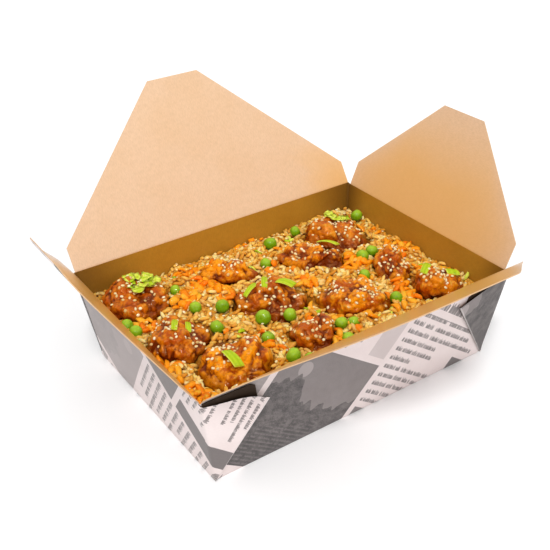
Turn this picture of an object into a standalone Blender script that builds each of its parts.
"""A takeaway meal box of folded paperboard, its four lid flaps open, filled with fried rice,
glazed chicken pieces and peas.

Metres, +Z up. The origin is the centre of the underside of the base. X runs along the long side,
the front long side faces -Y, and each lid flap turns about the top edge of its own wall.
"""

import math
import random
from collections import namedtuple

import bmesh
import bpy
from mathutils import Matrix, Vector, noise
from mathutils.bvhtree import BVHTree

MM = 0.001

# Paperboard.
BOARD = 0.5 * MM
GAP = 0.3 * MM

# Tray: a frustum, wider at the rim than at the base.
BASE_LENGTH = 197 * MM
BASE_WIDTH = 138 * MM
RIM_LENGTH = 215 * MM
RIM_WIDTH = 154 * MM
HEIGHT = 63 * MM

# The lid closes in three layers, one board and its gap apart, so each wall ends under its own layer.
LEVEL = BOARD + GAP
SHORT_WALL_TOP = HEIGHT - 2 * LEVEL
BACK_WALL_TOP = HEIGHT - LEVEL
FRONT_WALL_TOP = HEIGHT
TRIM = 5 * MM

# Folded web corners, laid double over the ends of the long walls.
WEB_THICKNESS = 2 * BOARD
WEB_START = 1.5 * MM
WEB_TIP_RISE = 51 * MM
WEB_TIP_REACH = 39 * MM
WEB_BELOW_RIM = 2.5 * LEVEL
WEB_SINK = 0.15 * MM
# How far each web stands off its wall, in degrees: the side of the box, then the end of that side.
WEB_LIFTS = {
    ("front", "left"): 4.5,
    ("front", "right"): 1.6,
    ("back", "left"): 1.6,
    ("back", "right"): 1.6,
}

# Lid flaps: straight ends, then a taper to a narrow top edge. The tilts are up from level, in degrees.
LONG_FLAP = {"reach": 103 * MM, "shoulder": 15 * MM, "top": 37 * MM, "inset": 1.5 * MM}
SHORT_FLAP = {"reach": 76 * MM, "shoulder": 16.5 * MM, "top": 35 * MM, "inset": 2.5 * MM}
FLAP_START = 0.1 * MM
BACK_TILT = 57.0
RIGHT_TILT = 65.7
LEFT_TILT = 57.0
FRONT_TILT = 40.4

# Food.
WALL_CLEARANCE = 0.4 * MM
RICE_LEVEL = 45.5 * MM
RICE_DIP = 4 * MM
RICE_DIP_START = 0.7
RICE_MOUNDS = 3 * MM
RICE_LUMPS = 1.6 * MM
RICE_COLUMNS = 22
RICE_ROWS = 15
HOLLOW_SPREAD = 1.06
HOLLOW_CONE = math.cos(math.radians(23))
PEA_HOLLOW = 1.38

KRAFT = (0.78, 0.55, 0.34)
RICE_COLOUR = (0.72, 0.45, 0.14)
CHICKEN_COLOUR = (0.42, 0.12, 0.02)
PEA_COLOUR = (0.16, 0.36, 0.02)
ONION_COLOUR = (0.50, 0.60, 0.06)

# Chicken pieces, in millimetres: centre x and y, top, length, width, height and turn in plan. The
# lobes are balls in a piece two units long: the place along it, across it and above it, and radius.
Piece = namedtuple("Piece", "x y top length width height turn lobes")
CHICKEN = (
    Piece(-81.5, 48.5, 59, 44, 42, 31, -34, ((-0.35, 0.1, 0.05, 0.62), (0.4, -0.05, 0.0, 0.6))),
    Piece(-79, -2.5, 59, 37, 43, 29, -30, ((-0.3, -0.1, 0.1, 0.62), (0.42, 0.15, -0.05, 0.52))),
    Piece(-64.5, -39.5, 59, 42, 42, 33, -22, ((-0.38, -0.1, 0.05, 0.6), (0.48, 0.05, 0.05, 0.5))),
    Piece(-13.5, 0.5, 58, 50, 37, 30, -30, ((-0.45, 0, 0, 0.55), (0.1, 0.1, 0.15, 0.6), (0.6, 0, -0.1, 0.42))),
    Piece(36, 27, 58.5, 47, 31, 29, -36, ((-0.42, 0.05, 0.05, 0.58), (0.52, -0.05, 0, 0.47))),
    Piece(69, 41.5, 58.5, 45, 38, 33, -30, ((-0.35, 0.1, 0.1, 0.6), (0.48, -0.2, -0.05, 0.5))),
    Piece(27.5, -30, 59, 45, 38, 30, -36, ((-0.5, 0, 0.1, 0.5), (0.05, 0.25, 0, 0.5), (0.6, -0.15, 0, 0.42))),
    Piece(-15, -44.5, 58.5, 28, 28, 28, -20, ((-0.2, -0.1, 0.05, 0.6), (0.45, 0.2, 0, 0.5))),
    Piece(71.5, -12, 58.5, 23, 31, 27, -30, ((-0.1, 0, 0.1, 0.68), (0.35, -0.2, 0, 0.5))),
    Piece(79.5, -46.5, 59, 33, 31, 29, -30, ((-0.4, 0, 0.1, 0.58), (0.5, -0.05, 0.05, 0.48))),
    Piece(-19, 41.5, 56, 41, 19, 24, -32, ((-0.45, 0, 0, 0.5), (0.2, 0.05, 0.05, 0.6), (0.65, 0, 0, 0.35))),
)
CORE_RADIUS = 0.58

# Peas, in millimetres: centre and diameter.
Pea = namedtuple("Pea", "x y z diameter")
PEAS = (
    Pea(-29.5, -15.0, 48.5, 9.8),
    Pea(-15.0, -22.0, 48.5, 8.6),
    Pea(-42.5, 9.5, 48.5, 8.8),
    Pea(-56.5, -7.5, 48.5, 8.8),
    Pea(-38.5, -33.5, 48.5, 8.0),
    Pea(-36.5, -55.5, 48.5, 9.2),
    Pea(62.5, 6.0, 48.5, 9.0),
    Pea(72.0, 8.0, 48.5, 8.6),
    Pea(47.1, -45.2, 48.8, 8.6),
    Pea(24.0, 56.5, 48.0, 9.2),
    Pea(95.5, 53.0, 48.5, 8.8),
    Pea(2.4, -48.3, 50.3, 8.0),
    Pea(10.6, -49.4, 48.0, 8.0),
    Pea(6.5, 35.5, 48.5, 8.0),
    Pea(-98.0, 25.5, 48.0, 8.2),
    Pea(-96.5, 17.0, 48.0, 8.0),
    Pea(-30.5, -64.0, 48.5, 8.4),
    Pea(-2.0, -60.5, 48.5, 7.6),
    Pea(48.0, 61.0, 47.5, 7.8),
    Pea(48.5, -13.0, 48.5, 8.0),
    Pea(-56.0, 18.5, 48.0, 7.8),
    Pea(-56.0, 43.0, 47.5, 7.6),
)

# Cut spring onion lying on the chicken, in millimetres: the number of the piece it lies on, then its
# place from the middle of that piece, its length and width, and its turn in plan.
Slice = namedtuple("Slice", "piece dx dy length width turn")
ONIONS = (
    Slice(2, -2.5, -1, 13, 4.5, 58),
    Slice(2, 4, -4, 12, 4.0, 62),
    Slice(3, -5, -6, 15, 7.0, -88),
    Slice(4, -10, 7, 15, 4.5, 25),
    Slice(4, -1, 5, 13, 4.5, 56),
    Slice(4, 9, -3, 12, 7.0, -50),
    Slice(5, 13, -1, 15, 6.0, -60),
    Slice(10, -6, 5, 13, 6.0, 33),
    Slice(10, 7, -5, 9, 6.5, -30),
)
ONION_THICKNESS = 1.6 * MM
ONION_DROOP = 0.7 * MM


def clear_scene():
    for obj in list(bpy.data.objects):
        bpy.data.objects.remove(obj, do_unlink=True)


def make_collection(name):
    collection = bpy.data.collections.new(name)
    bpy.context.scene.collection.children.link(collection)
    return collection


def make_material(name, colour, roughness):
    material = bpy.data.materials.new(name)
    material.use_nodes = True
    shader = material.node_tree.nodes["Principled BSDF"]
    shader.inputs["Base Color"].default_value = (*colour, 1)
    shader.inputs["Roughness"].default_value = roughness
    shader.inputs["Metallic"].default_value = 0
    material.diffuse_color = (*colour, 1)
    return material


def add_mesh(name, shape, collection, material=None):
    """Turn a bmesh into an object of its own."""
    mesh = bpy.data.meshes.new(name)
    shape.to_mesh(mesh)
    shape.free()
    obj = bpy.data.objects.new(name, mesh)
    collection.objects.link(obj)
    if material:
        mesh.materials.append(material)
    return obj


def as_cutter(obj):
    obj.hide_render = True
    obj.display_type = "WIRE"
    return obj


def add_boolean(obj, operation, other):
    modifier = obj.modifiers.new(f"{operation} {other.name}", "BOOLEAN")
    modifier.operation = operation
    modifier.solver = "EXACT"
    modifier.object = other


def flat_curve(name, outline, thickness, collection):
    """A closed flat outline, given thickness evenly to both sides of its own XY plane."""
    curve = bpy.data.curves.new(name, "CURVE")
    curve.dimensions = "2D"
    curve.fill_mode = "BOTH"
    curve.extrude = thickness / 2
    line = curve.splines.new("POLY")
    line.points.add(len(outline) - 1)
    for point, (x, y) in zip(line.points, outline):
        point.co = (x, y, 0, 1)
    line.use_cyclic_u = True
    obj = bpy.data.objects.new(name, curve)
    collection.objects.link(obj)
    return obj


def curve_to_mesh(obj):
    """Replace a curve object by a closed mesh of the same name and place."""
    bpy.context.view_layer.update()
    graph = bpy.context.evaluated_depsgraph_get()
    mesh = bpy.data.meshes.new_from_object(obj.evaluated_get(graph))
    shape = bmesh.new()
    shape.from_mesh(mesh)
    bmesh.ops.remove_doubles(shape, verts=shape.verts, dist=0.01 * MM)
    bmesh.ops.recalc_face_normals(shape, faces=shape.faces)
    shape.to_mesh(mesh)
    shape.free()
    solid = bpy.data.objects.new(obj.name + "_mesh", mesh)
    solid.matrix_world = obj.matrix_world.copy()
    for collection in obj.users_collection:
        collection.objects.link(solid)
    bpy.data.objects.remove(obj, do_unlink=True)
    return solid


def outer_half(base, rim, z):
    """Half of the tray's outside length or width at a height."""
    return (base + (rim - base) * z / HEIGHT) / 2


def inner_half(base, rim, z):
    """Half of the room for food at a height, clear of the walls."""
    return outer_half(base, rim, z) - 1.05 * BOARD - GAP


# Tray.

def box_cutter(name, low, high, collection):
    shape = bmesh.new()
    bmesh.ops.create_cube(shape, size=1)
    low = Vector(low)
    high = Vector(high)
    for vert in shape.verts:
        part = vert.co + Vector((0.5, 0.5, 0.5))
        vert.co = Vector(low[i] + (high[i] - low[i]) * part[i] for i in range(3))
    return as_cutter(add_mesh(name, shape, collection))


def rim_cutters(collection):
    """One box over each wall, which trims it to the height of its own crease."""
    inner_x = RIM_LENGTH / 2 - LEVEL
    inner_y = RIM_WIDTH / 2 - LEVEL
    outer_x = RIM_LENGTH / 2 + TRIM
    outer_y = RIM_WIDTH / 2 + TRIM
    plans = {
        "trim_right": ((inner_x, -outer_y, SHORT_WALL_TOP), (outer_x, outer_y, HEIGHT + TRIM)),
        "trim_left": ((-outer_x, -outer_y, SHORT_WALL_TOP), (-inner_x, outer_y, HEIGHT + TRIM)),
        "trim_back": ((-outer_x, inner_y, BACK_WALL_TOP), (outer_x, outer_y, HEIGHT + TRIM)),
        "trim_front": ((-outer_x, -outer_y, FRONT_WALL_TOP), (outer_x, -inner_y, HEIGHT + TRIM)),
    }
    return [box_cutter(name, low, high, collection) for name, (low, high) in plans.items()]


def web_plate(side, hand, collection):
    """A triangle of doubled board over one end of a long wall, standing a little off that wall."""
    end = -1 if hand == "left" else 1
    slant = math.hypot(HEIGHT, (RIM_WIDTH - BASE_WIDTH) / 2)
    lean = (RIM_LENGTH - BASE_LENGTH) / 2 / slant
    foot = Vector((BASE_LENGTH / 2 + lean * WEB_START - WEB_SINK, WEB_START))
    crown = Vector((RIM_LENGTH / 2 - WEB_SINK, slant - WEB_BELOW_RIM))
    tip = Vector((RIM_LENGTH / 2 - WEB_TIP_REACH, WEB_TIP_RISE))
    outline = [(end * point.x, point.y) for point in (foot, crown, tip)]
    plate = curve_to_mesh(flat_curve(f"web_{side}_{hand}", outline, WEB_THICKNESS, collection))

    corner = Vector((end * foot.x, foot.y, -WEB_THICKNESS / 2))
    fold = Vector((end * (crown.x - foot.x), crown.y - foot.y, 0)).normalized()
    lift = Matrix.Rotation(end * math.radians(WEB_LIFTS[side, hand]), 4, fold)
    swing = Matrix.Translation(corner) @ lift @ Matrix.Translation(-corner)

    along = Vector((1, 0, 0))
    up = Vector((0, -(RIM_WIDTH - BASE_WIDTH) / 2, HEIGHT)).normalized()
    out = along.cross(up)
    wall = Matrix((along, up, out)).transposed().to_4x4()
    wall.translation = Vector((0, -BASE_WIDTH / 2, 0)) + out * (WEB_THICKNESS / 2 - WEB_SINK)
    turn = Matrix.Rotation(math.pi if side == "back" else 0, 4, "Z")
    plate.matrix_world = turn @ wall @ swing
    return as_cutter(plate)


def make_tray(parts, cutters):
    """A frustum of board, open at the top, with a folded web over each end of its long walls."""
    shape = bmesh.new()
    bmesh.ops.create_cube(shape, size=1)
    for vert in shape.verts:
        z = HEIGHT + TRIM / 2 if vert.co.z > 0 else 0
        side_x = math.copysign(1, vert.co.x)
        side_y = math.copysign(1, vert.co.y)
        x = outer_half(BASE_LENGTH, RIM_LENGTH, z)
        y = outer_half(BASE_WIDTH, RIM_WIDTH, z)
        vert.co = (side_x * x, side_y * y, z)
    top = [face for face in shape.faces if all(vert.co.z > 0 for vert in face.verts)]
    bmesh.ops.delete(shape, geom=top, context="FACES")
    tray = add_mesh("tray", shape, parts, make_material("kraft_board", KRAFT, 0.6))
    solidify = tray.modifiers.new("board", "SOLIDIFY")
    solidify.thickness = BOARD
    solidify.offset = -1
    solidify.use_even_offset = True

    for side, hand in WEB_LIFTS:
        add_boolean(tray, "UNION", web_plate(side, hand, cutters))
    for cutter in rim_cutters(cutters):
        add_boolean(tray, "DIFFERENCE", cutter)


# Lid flaps.

def make_flap(name, size, wall_length, wall_line, wall_top, tilt, turn, parts, material):
    """A flat flap that starts at its crease. Its origin is on the crease, and Z of its own is inward."""
    half = wall_length / 2 - size["inset"]
    outline = [
        (-half, FLAP_START),
        (half, FLAP_START),
        (half, size["shoulder"]),
        (size["top"] / 2, size["reach"]),
        (-size["top"] / 2, size["reach"]),
        (-half, size["shoulder"]),
    ]
    flap = flat_curve(name, outline, BOARD, parts)
    flap.data.materials.append(material)
    crease_z = wall_top + GAP + BOARD / 2
    away = Matrix.Rotation(math.radians(turn), 3, "Z") @ Vector((0, wall_line(crease_z), 0))
    flap.location = (away.x, away.y, crease_z)
    flap.rotation_euler = (math.radians(tilt), 0, math.radians(turn))
    return flap


def wall_line_y(z):
    """How far the middle of a long wall's board is from the middle of the box."""
    return outer_half(BASE_WIDTH, RIM_WIDTH, z) - BOARD / 2


def wall_line_x(z):
    """How far the middle of a short wall's board is from the middle of the box."""
    return outer_half(BASE_LENGTH, RIM_LENGTH, z) - BOARD / 2


def make_flaps(parts):
    material = make_material("kraft_flap", KRAFT, 0.6)
    plans = (
        ("flap_back", LONG_FLAP, RIM_LENGTH, wall_line_y, BACK_WALL_TOP, BACK_TILT, 0),
        ("flap_right", SHORT_FLAP, RIM_WIDTH, wall_line_x, SHORT_WALL_TOP, RIGHT_TILT, -90),
        ("flap_left", SHORT_FLAP, RIM_WIDTH, wall_line_x, SHORT_WALL_TOP, LEFT_TILT, 90),
        ("flap_front", LONG_FLAP, RIM_LENGTH, wall_line_y, FRONT_WALL_TOP, FRONT_TILT, 180),
    )
    for plan in plans:
        make_flap(*plan, parts, material)


# Food.

def bump_distance(direction, bumps, power=9):
    """Distance from the middle to the outside of a cluster of overlapping balls, in one direction.

    The power rounds the valleys where two balls meet: a lower one fills them more.
    """
    total = 0
    for centre, radius in bumps:
        along = direction.dot(centre)
        inside = along * along - centre.length_squared + radius * radius
        if inside <= 0:
            continue
        reach = along + math.sqrt(inside)
        if reach > 0:
            total += reach**power
    return total ** (1 / power)


def piece_bumps(piece):
    """The core and lobes of a piece, with smaller balls round them for the lumps of the batter."""
    rng = random.Random(piece.x)
    bumps = [(Vector((0, 0, 0)), CORE_RADIUS)]
    for x, y, z, radius in piece.lobes:
        bumps.append((Vector((x, y, z)), radius))
    count = rng.randint(7, 9)
    for index in range(count):
        around = 2 * math.pi * (index + rng.uniform(-0.3, 0.3)) / count
        rise = rng.uniform(-0.3, 0.8)
        flat = math.sqrt(1 - rise * rise)
        distance = rng.uniform(0.46, 0.6)
        centre = Vector((math.cos(around) * flat, math.sin(around) * flat, rise)) * distance
        bumps.append((centre, rng.uniform(0.26, 0.4)))
    return bumps


def rough_nugget(piece):
    """The lumpy form of one piece, about as large as a ball of radius 1."""
    bumps = piece_bumps(piece)
    shape = bmesh.new()
    bmesh.ops.create_icosphere(shape, subdivisions=3, radius=1)
    for vert in shape.verts:
        direction = vert.co.normalized()
        ripple = noise.noise(direction * 2.6 + Vector((piece.x, piece.y, 0)))
        vert.co = direction * bump_distance(direction, bumps) * (1 + 0.07 * ripple)
    return shape


def placing(piece, shape):
    """The matrix that gives a rough nugget the size, turn and place of its piece."""
    reach = [max(abs(vert.co[axis]) for vert in shape.verts) for axis in range(2)]
    high = max(vert.co.z for vert in shape.verts)
    low = min(vert.co.z for vert in shape.verts)
    tall = piece.height * MM / (high - low)
    size = Matrix.Diagonal((piece.length * MM / 2 / reach[0], piece.width * MM / 2 / reach[1], tall, 1))
    turn = Matrix.Rotation(math.radians(piece.turn), 4, "Z")
    return Matrix.Translation((piece.x * MM, piece.y * MM, piece.top * MM - high * tall)) @ turn @ size


def chicken_shape(piece):
    shape = rough_nugget(piece)
    shape.transform(placing(piece, shape))
    keep_inside(shape)
    return shape


def hollow_shape(piece):
    """A coarser form that encloses the piece everywhere, for the hollow that it leaves in the rice."""
    nugget = rough_nugget(piece)
    place = placing(piece, nugget)
    points = [(vert.co.normalized(), vert.co.length) for vert in nugget.verts]
    nugget.free()
    shape = bmesh.new()
    bmesh.ops.create_icosphere(shape, subdivisions=2, radius=1)
    for vert in shape.verts:
        direction = vert.co.normalized()
        nearby = [length for way, length in points if way.dot(direction) > HOLLOW_CONE]
        vert.co = direction * max(nearby) * HOLLOW_SPREAD
    shape.transform(place)
    return shape


def keep_inside(shape):
    """Flatten whatever would reach the walls against them."""
    for vert in shape.verts:
        x = inner_half(BASE_LENGTH, RIM_LENGTH, vert.co.z) - WALL_CLEARANCE
        y = inner_half(BASE_WIDTH, RIM_WIDTH, vert.co.z) - WALL_CLEARANCE
        vert.co.x = max(-x, min(x, vert.co.x))
        vert.co.y = max(-y, min(y, vert.co.y))


def rice_height(x, y):
    """Height of the rice before the larger food is pressed into it."""
    broad = noise.noise(Vector((x * 26, y * 26, 3)))
    fine = noise.noise(Vector((x * 95, y * 95, 8)))
    near_wall = max(x / (RIM_LENGTH / 2), y / (RIM_WIDTH / 2))
    dip = max(0, near_wall - RICE_DIP_START) / (1 - RICE_DIP_START)
    return RICE_LEVEL + broad * RICE_MOUNDS + fine * RICE_LUMPS - dip * RICE_DIP


def make_rice(parts, hollows):
    """The heap as one solid: an uneven top, sides along the walls and a flat bottom."""
    shape = bmesh.new()
    bmesh.ops.create_grid(shape, x_segments=RICE_COLUMNS, y_segments=RICE_ROWS, size=1)
    for vert in shape.verts:
        u = vert.co.x
        v = vert.co.y
        z = rice_height(u * RIM_LENGTH / 2, v * RIM_WIDTH / 2)
        vert.co.x = u * inner_half(BASE_LENGTH, RIM_LENGTH, z)
        vert.co.y = v * inner_half(BASE_WIDTH, RIM_WIDTH, z)
        vert.co.z = z
    rim = [edge for edge in shape.edges if edge.is_boundary]
    made = bmesh.ops.extrude_edge_only(shape, edges=rim)["geom"]
    foot_z = BOARD + GAP
    foot = [item for item in made if isinstance(item, bmesh.types.BMVert)]
    for vert in foot:
        room_x = inner_half(BASE_LENGTH, RIM_LENGTH, vert.co.z)
        room_y = inner_half(BASE_WIDTH, RIM_WIDTH, vert.co.z)
        vert.co.x *= inner_half(BASE_LENGTH, RIM_LENGTH, foot_z) / room_x
        vert.co.y *= inner_half(BASE_WIDTH, RIM_WIDTH, foot_z) / room_y
        vert.co.z = foot_z
    bmesh.ops.holes_fill(shape, edges=[edge for edge in shape.edges if edge.is_boundary], sides=0)
    bmesh.ops.recalc_face_normals(shape, faces=shape.faces)
    rice = add_mesh("rice_bed", shape, parts, make_material("fried_rice", RICE_COLOUR, 0.5))
    press = rice.modifiers.new("hollows", "BOOLEAN")
    press.operation = "DIFFERENCE"
    press.solver = "EXACT"
    press.operand_type = "COLLECTION"
    press.collection = hollows


def make_chicken(parts, hollows):
    """The glazed pieces, and for each one the hollow that it presses into the rice."""
    material = make_material("glazed_chicken", CHICKEN_COLOUR, 0.25)
    pieces = []
    for number, piece in enumerate(CHICKEN, 1):
        solid = add_mesh(f"chicken_{number:02d}", chicken_shape(piece), parts, material)
        solid.data.shade_smooth()
        pieces.append(solid)
        hollow = add_mesh(f"hollow_chicken_{number:02d}", hollow_shape(piece), hollows)
        as_cutter(hollow)
    return pieces


def pea_shape(radius, centre, subdivisions=2):
    shape = bmesh.new()
    bmesh.ops.create_icosphere(shape, subdivisions=subdivisions, radius=radius)
    bmesh.ops.translate(shape, verts=shape.verts, vec=centre)
    return shape


def make_peas(parts, hollows):
    material = make_material("pea", PEA_COLOUR, 0.3)
    for number, pea in enumerate(PEAS, 1):
        radius = pea.diameter / 2 * MM
        centre = Vector((pea.x, pea.y, pea.z)) * MM
        solid = add_mesh(f"pea_{number:02d}", pea_shape(radius, centre), parts, material)
        solid.data.shade_smooth()
        room = pea_shape(radius * PEA_HOLLOW, centre, subdivisions=1)
        hollow = add_mesh(f"hollow_pea_{number:02d}", room, hollows)
        as_cutter(hollow)


def onion_shape(cut):
    """A strip of onion, curved a little along its length, its middle at the origin."""
    shape = bmesh.new()
    bmesh.ops.create_cube(shape, size=1)
    lengthwise = [edge for edge in shape.edges if abs(edge.verts[0].co.x - edge.verts[1].co.x) > 0.5]
    bmesh.ops.subdivide_edges(shape, edges=lengthwise, cuts=3)
    for vert in shape.verts:
        droop = (2 * vert.co.x) ** 2 * ONION_DROOP
        vert.co.x *= cut.length * MM
        vert.co.y *= cut.width * MM
        vert.co.z = vert.co.z * ONION_THICKNESS - droop
    return shape


def make_onions(parts, pieces):
    """Cuts of spring onion that lie on the chicken."""
    material = make_material("spring_onion", ONION_COLOUR, 0.4)
    for number, cut in enumerate(ONIONS, 1):
        host = pieces[cut.piece - 1].data
        corners = [vert.co for vert in host.vertices]
        tree = BVHTree.FromPolygons(corners, [face.vertices for face in host.polygons])
        piece = CHICKEN[cut.piece - 1]
        above = Vector(((piece.x + cut.dx) * MM, (piece.y + cut.dy) * MM, 2 * HEIGHT))
        point, normal, _, _ = tree.ray_cast(above, Vector((0, 0, -1)))
        normal = (normal + Vector((0, 0, 1.5))).normalized()
        heading = Matrix.Rotation(math.radians(cut.turn), 3, "Z") @ Vector((1, 0, 0))
        side = normal.cross(heading).normalized()
        frame = Matrix((side.cross(normal), side, normal)).transposed().to_4x4()
        shape = onion_shape(cut)
        shape.transform(Matrix.Translation(point) @ frame)
        settle_on(tree, shape, normal)
        add_mesh(f"onion_{number:02d}", shape, parts, material)


def settle_on(tree, shape, normal):
    """Raise a cut until it is just clear of the piece below."""
    while tree.overlap(BVHTree.FromBMesh(shape)):
        bmesh.ops.translate(shape, verts=shape.verts, vec=normal * GAP / 3)
    bmesh.ops.translate(shape, verts=shape.verts, vec=normal * GAP)


def main():
    clear_scene()
    parts = make_collection("chicken_box")
    cutters = make_collection("cutters")
    make_tray(parts, cutters)
    make_flaps(parts)
    hollows = make_collection("hollows")
    pieces = make_chicken(parts, hollows)
    make_peas(parts, hollows)
    make_rice(parts, hollows)
    make_onions(parts, pieces)


main()
